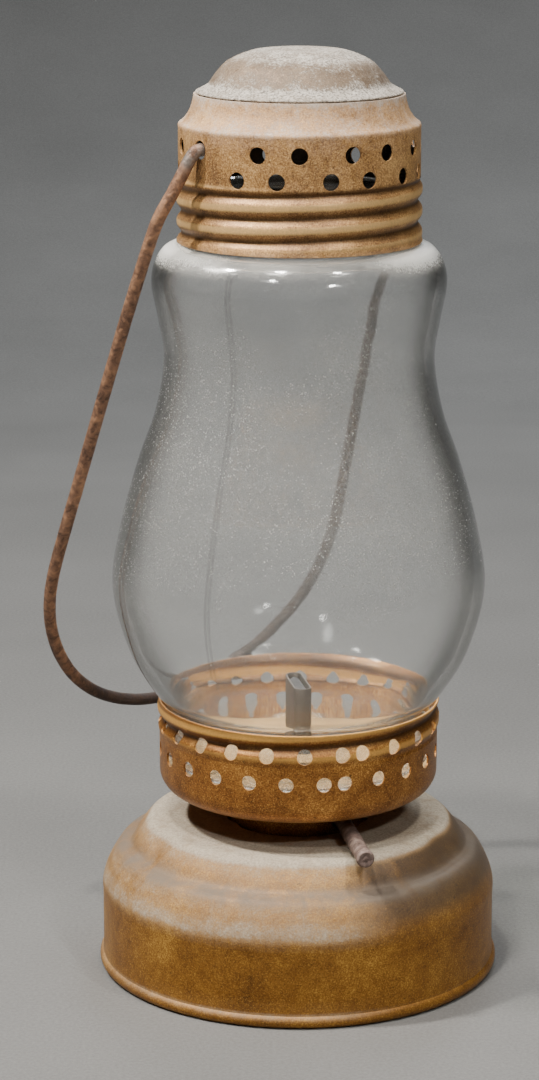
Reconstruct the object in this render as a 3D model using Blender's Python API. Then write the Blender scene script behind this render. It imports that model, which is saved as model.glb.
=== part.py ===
"""Small screw-together oil lantern: tin fount, perforated burner, glass globe, vented cap and wire bail.

The lantern stands on the XY plane with its axis on +Z and its origin at the centre of the flat bottom.
Sizes are millimetres in the constants and metres in the scene. An azimuth is in degrees from the front
(-Y) towards the right (+X). Threads are rolled right-hand helices with running clearance.
"""
import math

import bmesh
import bpy
from mathutils import Matrix, Vector

MM = 0.001
GAP = 0.3
FINE, COARSE = 32, 24

# Fount
FOUNT_SHEET = 0.45
FOUNT_WALL_R = 38.3
FOUNT_BEAD_R = 39.0
FOUNT_BEAD_H = 2.7
PLATEAU_Z = 29.4
PLATEAU_R = 27.5
FILL_HOLE_R = 14.2

# Burner
BURNER_SHEET = 0.4
NECK_R = 13.25
NECK_THREAD_PITCH = 2.6
NECK_BOTTOM, NECK_TOP = 22.5, 36.5
COLLAR_R = NECK_R + 0.65
CUP_R = 27.0
CUP_FLOOR_Z = 35.4
CUP_TOP = 53.5
DECK_TOP = 41.6
DECK_R = 26.2
CUP_THREAD_PITCH = 4.4
CUP_VALLEY_FRONT_Z = 50.8
CUP_THREAD_DEPTH = 0.4
CUP_HOLE_D = 2.9
CUP_HOLES = 24
CUP_HOLE_STEP = 15.28
CUP_ROWS = ((49.3, 25.9), (43.8, 18.5))

# Wick and its raiser
WICK_AZIMUTH = 10.0
TUBE_W, TUBE_T, TUBE_WALL = 12.4, 3.4, 0.35
TUBE_BOTTOM, TUBE_TOP = 25.0, 56.4
WICK_W, WICK_T = 11.0, 2.0
WICK_BOTTOM, WICK_TOP = 7.0, 55.8
SPINDLE_D = 3.2
SPINDLE_Z = 31.6
SPINDLE_OFFSET = 6.3
SPINDLE_FRONT, SPINDLE_REAR = 35.0, -5.0
WHEEL_R, WHEEL_ROOT_R, WHEEL_T = 5.0, 3.7, 1.0
WHEEL_TEETH = 10
WHEEL_SPACING = 4.4

# Globe
GLASS = 2.0
GLOBE_BOTTOM, GLOBE_TOP = 41.9, 152.0
GLOBE_FOOT_R, GLOBE_NECK_R = 25.6, 21.35
GLASS_THREAD_DEPTH = 0.25

# Cap
CAP_SHEET = 0.4
CAP_R = 22.55
CAP_BOTTOM, CAP_TOP = 142.3, 169.6
CAP_THREAD_PITCH = 4.1
CAP_GROOVE_FRONT_Z = 153.2
CAP_THREAD_DEPTH = 0.25
CAP_HOLE_D = 3.1
CAP_HOLE_ROWS = ((160.5, 0.0), (155.8, -10.6))
CAP_HOLE_ANGLES = (33.9, 53.5, 78.8, 98.3, 121.3, 140.5, 159.3)
CROWN_RIM_R = 19.4
CROWN_TOP = 178.0

# Bail
BAIL_AZIMUTH = -54.0
BAIL_PIVOT_Z = 160.6
BAIL_TILT = 21.7
BAIL_D = 2.7
BAIL_SIDES = 10


def clear_scene():
    for item in list(bpy.data.objects):
        bpy.data.objects.remove(item, do_unlink=True)


def around(radius, azimuth, height):
    """Point in millimetres at a radius and height, round the lantern's axis."""
    turn = math.radians(azimuth)
    return Vector((radius * math.sin(turn), -radius * math.cos(turn), height))


def finish_material(name, colour, roughness, metallic, clear=0.0):
    material = bpy.data.materials.new(name)
    material.use_nodes = True
    shader = material.node_tree.nodes["Principled BSDF"]
    shader.inputs["Base Color"].default_value = (*colour, 1.0)
    shader.inputs["Roughness"].default_value = roughness
    shader.inputs["Metallic"].default_value = metallic
    shader.inputs["Transmission Weight"].default_value = clear
    return material


def as_object(name, mesh_maker, material, origin=(0.0, 0.0, 0.0), parent=None):
    """Link a finished mesh, with its origin at a point in millimetres in its parent's space."""
    bmesh.ops.recalc_face_normals(mesh_maker, faces=mesh_maker.faces)
    bmesh.ops.translate(mesh_maker, vec=-Vector(origin), verts=mesh_maker.verts)
    bmesh.ops.scale(mesh_maker, vec=(MM, MM, MM), verts=mesh_maker.verts)
    mesh = bpy.data.meshes.new(name)
    mesh_maker.to_mesh(mesh)
    mesh_maker.free()
    mesh.shade_smooth()
    mesh.set_sharp_from_angle(angle=math.radians(35))
    if material:
        mesh.materials.append(material)
    item = bpy.data.objects.new(name, mesh)
    item.location = Vector(origin) * MM
    item.parent = parent
    bpy.context.scene.collection.objects.link(item)
    return item


def turned(outline, segments, wave=None):
    """Mesh of a closed (radius, height) outline turned round Z; wave(azimuth, height) moves the radius."""
    maker = bmesh.new()
    rings = []
    for radius, height in outline:
        if radius == 0.0:
            rings.append([maker.verts.new((0.0, 0.0, height))])
            continue
        ring = []
        for step in range(segments):
            azimuth = 360.0 * step / segments
            swell = wave(azimuth, height) if wave else 0.0
            ring.append(maker.verts.new(around(radius + swell, azimuth, height)))
        rings.append(ring)
    for first, second in zip(rings, rings[1:] + rings[:1]):
        for step in range(segments):
            corners = [first[step % len(first)], first[(step + 1) % len(first)],
                       second[(step + 1) % len(second)], second[step % len(second)]]
            distinct = list(dict.fromkeys(corners))
            if len(distinct) > 2:
                maker.faces.new(distinct)
    return maker


def sheet(line, thickness):
    """Closed outline of a sheet whose outer face follows a line, thickened to the right of its direction."""
    inner = []
    for index, point in enumerate(line):
        before = line[max(index - 1, 0)]
        after = line[min(index + 1, len(line) - 1)]
        incoming = Vector(point) - Vector(before)
        outgoing = Vector(after) - Vector(point)
        incoming = (incoming if incoming.length else outgoing).normalized()
        outgoing = (outgoing if outgoing.length else incoming).normalized()
        middle = (incoming + outgoing).normalized()
        reach = thickness / max(middle.dot(outgoing), 0.5)
        inner.append((max(point[0] + middle.y * reach, 0.0), point[1] - middle.x * reach))
    return list(line) + inner[::-1]


def arc(centre, radius, start, end, steps):
    """Points on an arc in the radius-height plane, angles in degrees from the radial direction."""
    angles = [math.radians(start + (end - start) * step / steps) for step in range(steps + 1)]
    return [(centre[0] + radius * math.cos(angle), centre[1] + radius * math.sin(angle)) for angle in angles]


def steps_between(start, end, count):
    return [start + (end - start) * step / count for step in range(count + 1)]


def thread(groove_height, pitch, depth, low, high, fade):
    """Radius change of a right-hand thread, with its groove at groove_height at the front."""
    def wave(azimuth, height):
        turns = (height - groove_height) / pitch - azimuth / 360.0
        into = min((height - low) / fade, (high - height) / fade, 1.0)
        return -depth * math.cos(2 * math.pi * turns) * max(into, 0.0)
    return wave


def prism(maker, outline, start, end, frame=Matrix()):
    """Add a straight body with an (x, y) outline from z=start to z=end, placed by a frame."""
    rings = [[maker.verts.new(frame @ Vector((x, y, z))) for x, y in outline] for z in (start, end)]
    maker.faces.new(rings[0][::-1])
    maker.faces.new(rings[1])
    for step in range(len(outline)):
        after = (step + 1) % len(outline)
        maker.faces.new((rings[0][step], rings[0][after], rings[1][after], rings[1][step]))


def circle(radius, sides):
    return [(radius * math.cos(2 * math.pi * step / sides), radius * math.sin(2 * math.pi * step / sides))
            for step in range(sides)]


def flat_oval(width, thickness, arc_steps=6):
    """Outline of a flattened tube, thin along X and wide along Y."""
    radius = thickness / 2
    reach = width / 2 - radius
    outline = []
    for sign, start in ((1, 0.0), (-1, math.pi)):
        for step in range(arc_steps + 1):
            angle = start + math.pi * step / arc_steps
            outline.append((radius * math.cos(angle), sign * reach + radius * math.sin(angle)))
    return outline


def cut(item, cutter_maker, parent=None):
    """Cut holes in an object with a hidden wire cutter."""
    cutter = as_object(item.name + "_cutter", cutter_maker, None, parent=parent)
    cutter.hide_render = True
    cutter.display_type = "WIRE"
    boolean = item.modifiers.new("holes", "BOOLEAN")
    boolean.operation = "DIFFERENCE"
    boolean.solver = "EXACT"
    boolean.object = cutter


def radial_punch(maker, azimuth, height, diameter, near, far, sides):
    """Add a round punch that points outwards from the axis."""
    outward = around(1.0, azimuth, 0.0)
    turn = outward.to_track_quat("Z", "Y").to_matrix().to_4x4()
    prism(maker, circle(diameter / 2, sides), near, far, Matrix.Translation((0, 0, height)) @ turn)


def fount_shell():
    """Stepped dome and wall in one stamping, with its lower edge rolled into a bead."""
    wall_top = 16.8
    dome = [(PLATEAU_R, PLATEAU_Z), (29.0, 29.1), (31.1, 26.9), (32.7, 24.9), (33.7, 24.2),
            (35.3, 23.2), (36.7, 21.2), (37.8, 18.8), (FOUNT_WALL_R, wall_top)]
    bead_centre = FOUNT_BEAD_R - FOUNT_BEAD_H / 2
    line = [(FILL_HOLE_R, PLATEAU_Z), (22.0, PLATEAU_Z)] + dome
    line.append((FOUNT_WALL_R, FOUNT_BEAD_H + 0.2))
    outer_bead = arc((bead_centre, FOUNT_BEAD_H / 2), FOUNT_BEAD_H / 2, 50, -90, 4)
    inner_edge = bead_centre - 0.45
    skin = sheet(line, FOUNT_SHEET)[len(line):]
    outline = line + outer_bead + [(inner_edge, 0.0), (inner_edge, FOUNT_BEAD_H + 0.2)] + skin
    material = finish_material("fount_shell", (0.24, 0.12, 0.045), 0.5, 0.6)
    return as_object("fount_shell", turned(outline, FINE), material)


def fount_bottom():
    """Bottom plate with a pressed stiffening ring and a turned-up flange, inside the rolled bead."""
    rim = FOUNT_BEAD_R - FOUNT_BEAD_H / 2 - 0.45 - GAP
    line = [(rim, 5.0), (rim, 0.0), (31.0, 0.0), (30.2, 0.7), (26.8, 0.7), (26.0, 0.0), (0.0, 0.0)]
    material = finish_material("fount_bottom", (0.20, 0.13, 0.08), 0.6, 0.6)
    return as_object("fount_bottom", turned(sheet(line, FOUNT_SHEET), FINE), material)


def fount_collar():
    """Threaded collar soldered under the plateau's hole."""
    top = PLATEAU_Z - FOUNT_SHEET - GAP
    bottom = NECK_BOTTOM - 0.5
    outer = COLLAR_R + FOUNT_SHEET
    barrel = [(outer, height) for height in steps_between(top - FOUNT_SHEET - 0.05, bottom, 7)]
    bore = [(COLLAR_R, height) for height in steps_between(bottom, top, 7)]
    outline = [(COLLAR_R + 3.2, top), (COLLAR_R + 3.2, top - FOUNT_SHEET)] + barrel + bore
    wave = thread(26.0, NECK_THREAD_PITCH, 0.25, bottom, top - 1.0, 1.0)
    material = finish_material("fount_collar", (0.42, 0.29, 0.13), 0.45, 0.9)
    return as_object("fount_collar", turned(outline, COARSE, wave), material)


def burner_neck(seat):
    """Screw neck that carries the cup and lets the spindle through its side."""
    steps = 9
    outer = [(NECK_R, height) for height in steps_between(NECK_TOP, NECK_BOTTOM, steps)]
    inner = [(NECK_R - BURNER_SHEET, height) for height in steps_between(NECK_BOTTOM, NECK_TOP, steps)]
    wave = thread(26.0, NECK_THREAD_PITCH, 0.25, NECK_BOTTOM, 28.6, 1.0)
    material = finish_material("burner_neck", (0.30, 0.16, 0.07), 0.5, 0.8)
    neck = as_object("burner_neck", turned(outer + inner, COARSE, wave), material, seat)
    punch = bmesh.new()
    along = Matrix.Translation((SPINDLE_OFFSET, 0, SPINDLE_Z)) @ Matrix.Rotation(math.radians(90), 4, "X")
    turn = Matrix.Rotation(math.radians(WICK_AZIMUTH), 4, "Z")
    prism(punch, circle(SPINDLE_D / 2 + GAP + 0.05, 14), 8.0, 16.0, turn @ along)
    cut(neck, punch)
    return neck


def gallery_cup(seat):
    """Perforated cup that the globe screws into, with a thin flared lip and a bowl-shaped underside."""
    thread_low = 45.6
    corner = arc((CUP_R - 4.0, 39.4), 4.0, 0, -75, 4)
    threaded = [(CUP_R, height) for height in steps_between(CUP_TOP - 0.9, thread_low, 7)]
    line = [(CUP_R + 0.25, CUP_TOP)] + threaded + corner + [(22.6, CUP_FLOOR_Z), (NECK_R + 0.35, CUP_FLOOR_Z)]
    wave = thread(CUP_VALLEY_FRONT_Z, CUP_THREAD_PITCH, CUP_THREAD_DEPTH, thread_low, CUP_TOP + 0.3, 1.6)
    material = finish_material("gallery_cup", (0.34, 0.16, 0.045), 0.45, 0.7)
    cup = as_object("gallery_cup", turned(sheet(line, BURNER_SHEET), FINE, wave), material, seat)
    punch = bmesh.new()
    for height, start in CUP_ROWS:
        for index in range(CUP_HOLES):
            radial_punch(punch, start + CUP_HOLE_STEP * index, height, CUP_HOLE_D, CUP_R - 3, CUP_R + 3, 8)
    cut(cup, punch)
    return cup


def burner_deck(seat):
    """Pressed floor of the cup, with a turned-down edge and a slot for the wick tube."""
    line = [(0.0, DECK_TOP), (DECK_R - 0.6, DECK_TOP), (DECK_R, DECK_TOP - 0.6), (DECK_R, DECK_TOP - 2.2)]
    material = finish_material("burner_deck", (0.55, 0.46, 0.33), 0.8, 0.1)
    deck = as_object("burner_deck", turned(sheet(line, BURNER_SHEET), FINE), material, seat)
    punch = bmesh.new()
    turn = Matrix.Rotation(math.radians(WICK_AZIMUTH), 4, "Z")
    prism(punch, flat_oval(TUBE_W + 2 * GAP, TUBE_T + 2 * GAP), DECK_TOP - 3, DECK_TOP + 3, turn)
    cut(deck, punch)
    return deck


def wick_tube(axes):
    """Flattened tube, slotted on one side for the star wheels."""
    maker = bmesh.new()
    outer = flat_oval(TUBE_W, TUBE_T)
    inner = flat_oval(TUBE_W - 2 * TUBE_WALL, TUBE_T - 2 * TUBE_WALL)
    rings = [[maker.verts.new((x, y, z)) for x, y in outline]
             for outline, z in ((outer, TUBE_BOTTOM), (outer, TUBE_TOP), (inner, TUBE_TOP), (inner, TUBE_BOTTOM))]
    for first, second in zip(rings, rings[1:] + rings[:1]):
        for step in range(len(outer)):
            after = (step + 1) % len(outer)
            maker.faces.new((first[step], first[after], second[after], second[step]))
    material = finish_material("wick_tube", (0.33, 0.28, 0.22), 0.6, 0.6)
    tube = as_object("wick_tube", maker, material, parent=axes)
    slot_half, slot_height = WHEEL_T / 2 + GAP, 2.8
    slots = bmesh.new()
    for side in (-1, 1):
        middle = side * WHEEL_SPACING / 2
        outline = [(0.5, middle - slot_half), (3.5, middle - slot_half),
                   (3.5, middle + slot_half), (0.5, middle + slot_half)]
        prism(slots, outline, SPINDLE_Z - slot_height, SPINDLE_Z + slot_height)
    cut(tube, slots, parent=axes)
    return tube


def wick(axes):
    """Flat cotton wick that hangs in the fount and ends just below the tube's rim."""
    maker = bmesh.new()
    prism(maker, flat_oval(WICK_W, WICK_T, 4), WICK_BOTTOM, WICK_TOP)
    material = finish_material("wick", (0.08, 0.06, 0.05), 0.95, 0.0)
    return as_object("wick", maker, material, parent=axes)


def spindle_bracket(axes):
    """Folded bridge beside the tube whose two tabs hold the spindle on each side of the star wheels."""
    near, far = TUBE_T / 2 + GAP + 0.1, 9.4
    tab_inner = WHEEL_SPACING / 2 + WHEEL_T / 2 + 0.5
    tab_outer = tab_inner + BURNER_SHEET
    web_low = SPINDLE_Z + WHEEL_R + 0.4
    web_top = web_low + BURNER_SHEET
    tab_bottom = SPINDLE_Z - SPINDLE_D / 2 - 1.4
    fold = [(-tab_outer, tab_bottom), (-tab_inner, tab_bottom), (-tab_inner, web_low), (tab_inner, web_low),
            (tab_inner, tab_bottom), (tab_outer, tab_bottom), (tab_outer, web_top), (-tab_outer, web_top)]
    sideways = Matrix(((0, 0, 1, 0), (1, 0, 0, 0), (0, 1, 0, 0), (0, 0, 0, 1)))
    maker = bmesh.new()
    prism(maker, fold, near, far, sideways)
    material = finish_material("spindle_bracket", (0.36, 0.24, 0.12), 0.5, 0.8)
    bracket = as_object("spindle_bracket", maker, material, parent=axes)
    punch = bmesh.new()
    along = Matrix.Translation((SPINDLE_OFFSET, 0, SPINDLE_Z)) @ Matrix.Rotation(math.radians(90), 4, "X")
    prism(punch, circle(SPINDLE_D / 2 + GAP, 14), -8.0, 8.0, along)
    cut(bracket, punch, parent=axes)
    return bracket


def spindle(pivot):
    """Plain rod with a riveted front end; it lies along its parent's -Y."""
    radius, dimple = SPINDLE_D / 2, 0.8
    front = SPINDLE_FRONT
    profile = [(0.0, SPINDLE_REAR), (radius - 0.3, SPINDLE_REAR), (radius, SPINDLE_REAR + 0.3),
               (radius, front - 1.6), (radius + 0.15, front - 1.2), (radius + 0.15, front - 0.4),
               (radius - 0.25, front), (dimple, front), (dimple * 0.6, front - 0.4), (0.0, front - 0.4)]
    maker = turned(profile, 16)
    bmesh.ops.rotate(maker, matrix=Matrix.Rotation(math.radians(90), 3, "X"), verts=maker.verts)
    material = finish_material("spindle", (0.36, 0.26, 0.22), 0.6, 0.6)
    return as_object("spindle", maker, material, parent=pivot)


def star_wheel(name, pivot, along):
    """Pointed ratchet wheel on the spindle, its teeth just short of the wick."""
    maker = bmesh.new()
    points = 2 * WHEEL_TEETH
    radii = [WHEEL_R if step % 2 == 0 else WHEEL_ROOT_R for step in range(points)]
    turns = [2 * math.pi * step / points for step in range(points)]
    rim = [(r * math.cos(t), r * math.sin(t)) for r, t in zip(radii, turns)]
    bore_r = SPINDLE_D / 2 + GAP
    bore = [(bore_r * math.cos(t), bore_r * math.sin(t)) for t in turns]
    rings = [[maker.verts.new((x, along + y, z)) for x, z in outline]
             for outline, y in ((rim, -WHEEL_T / 2), (rim, WHEEL_T / 2), (bore, WHEEL_T / 2), (bore, -WHEEL_T / 2))]
    for first, second in zip(rings, rings[1:] + rings[:1]):
        for step in range(points):
            after = (step + 1) % points
            maker.faces.new((first[step], first[after], second[after], second[step]))
    material = finish_material(name, (0.45, 0.33, 0.16), 0.45, 0.9)
    return as_object(name, maker, material, (0.0, along, 0.0), pivot)


def globe(seat):
    """Blown pear-shaped globe with a threaded foot and a threaded neck."""
    foot = [(GLOBE_FOOT_R, height) for height in steps_between(GLOBE_BOTTOM, 51.8, 6)]
    body = [(25.75, 53.0), (28.4, 56.0), (32.9, 64.0), (35.85, 76.0), (34.1, 88.0), (30.8, 100.0),
            (27.3, 110.0), (25.65, 120.0), (26.65, 127.5), (27.85, 134.0), (27.3, 138.0),
            (25.4, 140.9), (22.9, 141.9), (21.7, 142.6)]
    neck = [(GLOBE_NECK_R, height) for height in steps_between(144.0, GLOBE_TOP, 6)]
    line = (foot + body + neck)[::-1]
    foot_wave = thread(CUP_VALLEY_FRONT_Z, CUP_THREAD_PITCH, GLASS_THREAD_DEPTH, 43.0, 52.0, 1.5)
    neck_wave = thread(CAP_GROOVE_FRONT_Z, CAP_THREAD_PITCH, GLASS_THREAD_DEPTH, 143.5, 151.5, 1.5)

    def wave(azimuth, height):
        return foot_wave(azimuth, height) + neck_wave(azimuth, height)

    material = finish_material("globe", (0.93, 0.94, 0.92), 0.06, 0.0, clear=1.0)
    return as_object("globe", turned(sheet(line, GLASS), FINE, wave), material, seat)


def cap_band(seat):
    """Flared, perforated and threaded lower stamping of the cap."""
    thread_top = 154.3
    flare = [(19.7, CAP_TOP), (19.95, 168.2), (20.5, 166.6), (21.5, 165.1), (CAP_R, 164.2)]
    threaded = [(CAP_R + 0.1, height) for height in steps_between(thread_top, CAP_BOTTOM + 1.3, 10)]
    line = [(17.0, CAP_TOP)] + flare + threaded + [(CAP_R + 0.55, CAP_BOTTOM)]
    wave = thread(CAP_GROOVE_FRONT_Z, CAP_THREAD_PITCH, CAP_THREAD_DEPTH, CAP_BOTTOM + 0.4, thread_top, 1.0)
    material = finish_material("cap_band", (0.30, 0.18, 0.085), 0.5, 0.6)
    band = as_object("cap_band", turned(sheet(line, CAP_SHEET), FINE, wave), material, seat)
    punch = bmesh.new()
    near, far = CAP_R - 3, CAP_R + 3
    for bail_side in (BAIL_AZIMUTH, BAIL_AZIMUTH + 180.0):
        radial_punch(punch, bail_side, BAIL_PIVOT_Z, BAIL_D + 2 * GAP + 0.2, near, far, 12)
        for height, lead in CAP_HOLE_ROWS:
            for angle in CAP_HOLE_ANGLES:
                radial_punch(punch, bail_side + angle + lead, height, CAP_HOLE_D, near, far, 8)
    cut(band, punch)
    return band


def cap_crown(seat):
    """Domed top stamping with a narrow sloping rim that overlaps the band."""
    dome = [(9.0, 177.4), (13.2, 175.7), (15.3, 173.7), (16.5, 172.1), (17.2, 171.2)]
    line = [(0.0, CROWN_TOP), (4.5, CROWN_TOP - 0.15)] + dome + [(CROWN_RIM_R, 170.2)]
    material = finish_material("cap_crown", (0.34, 0.26, 0.18), 0.75, 0.3)
    return as_object("cap_crown", turned(sheet(line, CAP_SHEET), FINE), material, seat)


def bail_path():
    """Half of the wire's centreline as (across, down) in its own plane, from its inner hook to the middle."""
    hook = [(19.4, -3.2), (19.4, -1.6), (19.75, -0.55), (20.7, 0.0)]
    shoulder = [(22.8, 0.0), (23.8, 0.75), (24.55, 2.4), (25.15, 4.4), (26.3, 8.0), (28.3, 13.6), (29.2, 19.5)]
    leg = [(30.4, 32.0), (31.6, 48.0), (32.8, 66.0), (33.9, 82.0)]
    bend = [(34.3, 90.5), (33.8, 97.5), (32.0, 104.4), (28.5, 111.5), (23.2, 118.3), (16.4, 123.6), (8.4, 126.9)]
    return hook + shoulder + leg + bend + [(0.0, 128.0)]


def bail(pivot):
    """Wire bail: both ends hook through the cap, and it leans back at its resting tilt."""
    half = bail_path()
    path = [Vector((-across, 0, -down)) for across, down in half]
    path += [Vector((across, 0, -down)) for across, down in half[-2::-1]]
    maker = bmesh.new()
    rings = []
    for index, point in enumerate(path):
        ahead = path[min(index + 1, len(path) - 1)] - path[max(index - 1, 0)]
        sideways = ahead.normalized().cross(Vector((0, 1, 0)))
        rings.append([maker.verts.new(point + sideways * x + Vector((0, y, 0)))
                      for x, y in circle(BAIL_D / 2, BAIL_SIDES)])
    for first, second in zip(rings, rings[1:]):
        for step in range(BAIL_SIDES):
            after = (step + 1) % BAIL_SIDES
            maker.faces.new((first[step], first[after], second[after], second[step]))
    maker.faces.new(rings[0])
    maker.faces.new(rings[-1])
    material = finish_material("bail", (0.25, 0.12, 0.07), 0.7, 0.5)
    wire = as_object("bail", maker, material, parent=pivot)
    wire.rotation_euler.x = math.radians(BAIL_TILT)
    return wire


def empty(name, location, azimuth):
    """Axes for parented pieces; local -Y points to the azimuth."""
    axes = bpy.data.objects.new(name, None)
    axes.location = Vector(location) * MM
    axes.rotation_euler.z = math.radians(azimuth)
    bpy.context.scene.collection.objects.link(axes)
    return axes


def build_lantern():
    clear_scene()
    fount_shell()
    fount_bottom()
    fount_collar()

    burner_seat = (0.0, 0.0, PLATEAU_Z)
    burner_neck(burner_seat)
    gallery_cup(burner_seat)
    burner_deck(burner_seat)
    wick_axes = empty("wick_axes", (0.0, 0.0, 0.0), WICK_AZIMUTH)
    wick_tube(wick_axes)
    wick(wick_axes)
    spindle_bracket(wick_axes)
    spindle_axis = empty("spindle_axis", (0.0, 0.0, 0.0), 0.0)
    spindle_axis.parent = wick_axes
    spindle_axis.location = Vector((SPINDLE_OFFSET, 0.0, SPINDLE_Z)) * MM
    spindle(spindle_axis)
    star_wheel("star_wheel_front", spindle_axis, -WHEEL_SPACING / 2)
    star_wheel("star_wheel_rear", spindle_axis, WHEEL_SPACING / 2)

    globe((0.0, 0.0, GLOBE_BOTTOM))
    cap_band((0.0, 0.0, CAP_BOTTOM))
    cap_crown((0.0, 0.0, CAP_TOP))
    bail(empty("bail_pivot", (0.0, 0.0, BAIL_PIVOT_Z), BAIL_AZIMUTH + 90.0))


build_lantern()
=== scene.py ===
"""Skater's oil lantern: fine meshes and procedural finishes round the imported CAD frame.

Shapes are in millimetres in the frame of the whole lantern, and become metres when a mesh is made.
Materials work in metres. Azimuths are degrees from the front (-Y) towards the right (+X).
"""
import math

import bmesh
import bpy
from mathutils import Matrix, Vector, noise


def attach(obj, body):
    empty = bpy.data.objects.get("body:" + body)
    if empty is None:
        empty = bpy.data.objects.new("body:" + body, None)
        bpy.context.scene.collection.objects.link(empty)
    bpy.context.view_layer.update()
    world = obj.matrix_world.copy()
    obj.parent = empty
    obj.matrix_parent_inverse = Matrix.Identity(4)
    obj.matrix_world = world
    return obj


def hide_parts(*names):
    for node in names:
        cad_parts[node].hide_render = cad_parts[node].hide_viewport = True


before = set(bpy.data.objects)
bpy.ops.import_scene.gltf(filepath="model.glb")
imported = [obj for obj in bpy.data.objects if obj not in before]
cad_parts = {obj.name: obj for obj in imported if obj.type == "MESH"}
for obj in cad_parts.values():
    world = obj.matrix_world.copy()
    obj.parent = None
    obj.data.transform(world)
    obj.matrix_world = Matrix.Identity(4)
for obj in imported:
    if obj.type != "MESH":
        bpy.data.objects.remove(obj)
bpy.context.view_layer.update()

MM = 0.001
ROUND_SEGMENTS = 224
THREAD_SEGMENTS = 128
BORE_SIDES = 28
ON_AXIS = 1e-6
SHARP_ANGLE = 38
BEVEL_ANGLE = 35

# Sizes repeated from the CAD
FOUNT_SHEET = 0.45
FOUNT_WALL_R = 38.3
FOUNT_BEAD_R, FOUNT_BEAD_H = 39.0, 2.7
PLATEAU_Z, PLATEAU_R = 29.4, 27.5
FILL_HOLE_R = 14.2
BURNER_SHEET = 0.4
NECK_R, NECK_BOTTOM, NECK_TOP = 13.25, 22.5, 36.5
NECK_PITCH, NECK_GROOVE_Z, NECK_DEPTH = 2.6, 26.0, 0.25
COLLAR_R = 13.9
CUP_R, CUP_FLOOR_Z, CUP_TOP = 27.0, 35.4, 53.5
CUP_PITCH, CUP_VALLEY_Z, CUP_GROOVE, CUP_CREST = 4.4, 50.8, 0.62, 0.38
CUP_HOLE_D, CUP_HOLES, CUP_HOLE_STEP = 2.9, 24, 15.28
CUP_ROWS = ((49.3, 25.9), (43.8, 18.5))  # (height, azimuth of the first hole)
DECK_TOP, DECK_R = 41.6, 26.2
WICK_AZIMUTH = 10.0
TUBE_W, TUBE_T, TUBE_WALL, TUBE_BOTTOM, TUBE_TOP = 12.4, 3.4, 0.35, 25.0, 56.4
WICK_W, WICK_T, WICK_BOTTOM, WICK_TOP = 11.0, 2.0, 7.0, 55.8
SPINDLE_D, SPINDLE_Z, SPINDLE_OFFSET = 3.2, 31.6, 6.3
SPINDLE_FRONT, SPINDLE_REAR = 35.0, -5.0
WHEEL_R, WHEEL_ROOT_R, WHEEL_T, WHEEL_TEETH, WHEEL_SPACING = 5.0, 3.7, 1.0, 10, 4.4
GLASS = 2.0
GLOBE_BOTTOM, GLOBE_TOP, GLOBE_FOOT_R, GLOBE_NECK_R, GLASS_DEPTH = 41.9, 152.0, 25.6, 21.35, 0.25
CAP_SHEET = 0.4
CAP_R, CAP_BOTTOM, CAP_TOP, CAP_THREAD_TOP = 22.55, 142.3, 169.6, 154.3
CAP_PITCH, CAP_GROOVE_Z, CAP_GROOVE, CAP_CREST = 4.1, 153.2, 0.52, 0.34
CAP_HOLE_D = 3.1
CAP_HOLE_ROWS = ((160.5, 0.0), (155.8, -10.6))  # (height, azimuth shift of the row)
CAP_HOLE_ANGLES = (33.9, 53.5, 78.8, 98.3, 121.3, 140.5, 159.3)  # azimuths from each bail hole
CROWN_RIM_R, CROWN_TOP = 19.4, 178.0
BAIL_AZIMUTH, BAIL_PIVOT_Z, BAIL_TILT, BAIL_D = -54.0, 160.6, 21.7, 2.7
BAIL_HOLE_D = 3.5

# Sizes of the fine shapes only
PUNCH_REACH = 3
TUBE_RIM = 0.18
TUBE_SLOT_INNER, TUBE_SLOT_OUTER, TUBE_SLOT_HALF = 0.5, 3.5, 2.8
SPINDLE_CLEARANCE = 0.3
BAIL_INSET = 0.15  # keeps the scaly wire inside the CAD wire

WICK_FRAME = Matrix.Rotation(math.radians(WICK_AZIMUTH), 4, "Z")
SPINDLE_FRAME = WICK_FRAME @ Matrix.Translation((SPINDLE_OFFSET, 0, SPINDLE_Z))
SPINDLE_ALONG = SPINDLE_FRAME @ Matrix.Rotation(math.radians(90), 4, "X")
BAIL_FRAME = (Matrix.Translation((0, 0, BAIL_PIVOT_Z))
              @ Matrix.Rotation(math.radians(BAIL_AZIMUTH + 90), 4, "Z")
              @ Matrix.Rotation(math.radians(BAIL_TILT), 4, "X"))


# ---------------------------------------------------------------- meshes

def around(radius, azimuth, height):
    turn = math.radians(azimuth)
    return Vector((radius * math.sin(turn), -radius * math.cos(turn), height))


def piece(name, maker, material=None, body=None, stands_for=None, place=None):
    """Make an object of a mesh in millimetres, tie it to its body and hide the CAD node it stands for.

    A cutter has no material and is tied to nothing.
    """
    if place is not None:
        bmesh.ops.transform(maker, matrix=place, verts=maker.verts)
    bmesh.ops.recalc_face_normals(maker, faces=maker.faces)
    bmesh.ops.scale(maker, vec=(MM, MM, MM), verts=maker.verts)
    mesh = bpy.data.meshes.new(name)
    maker.to_mesh(mesh)
    maker.free()
    item = bpy.data.objects.new(name, mesh)
    bpy.context.scene.collection.objects.link(item)
    if material:
        mesh.materials.append(material)
        smooth(item)
        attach(item, body)
        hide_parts(stands_for)
    return item


def smooth(item):
    item.data.shade_smooth()
    item.data.set_sharp_from_angle(angle=math.radians(SHARP_ANGLE))


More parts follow.
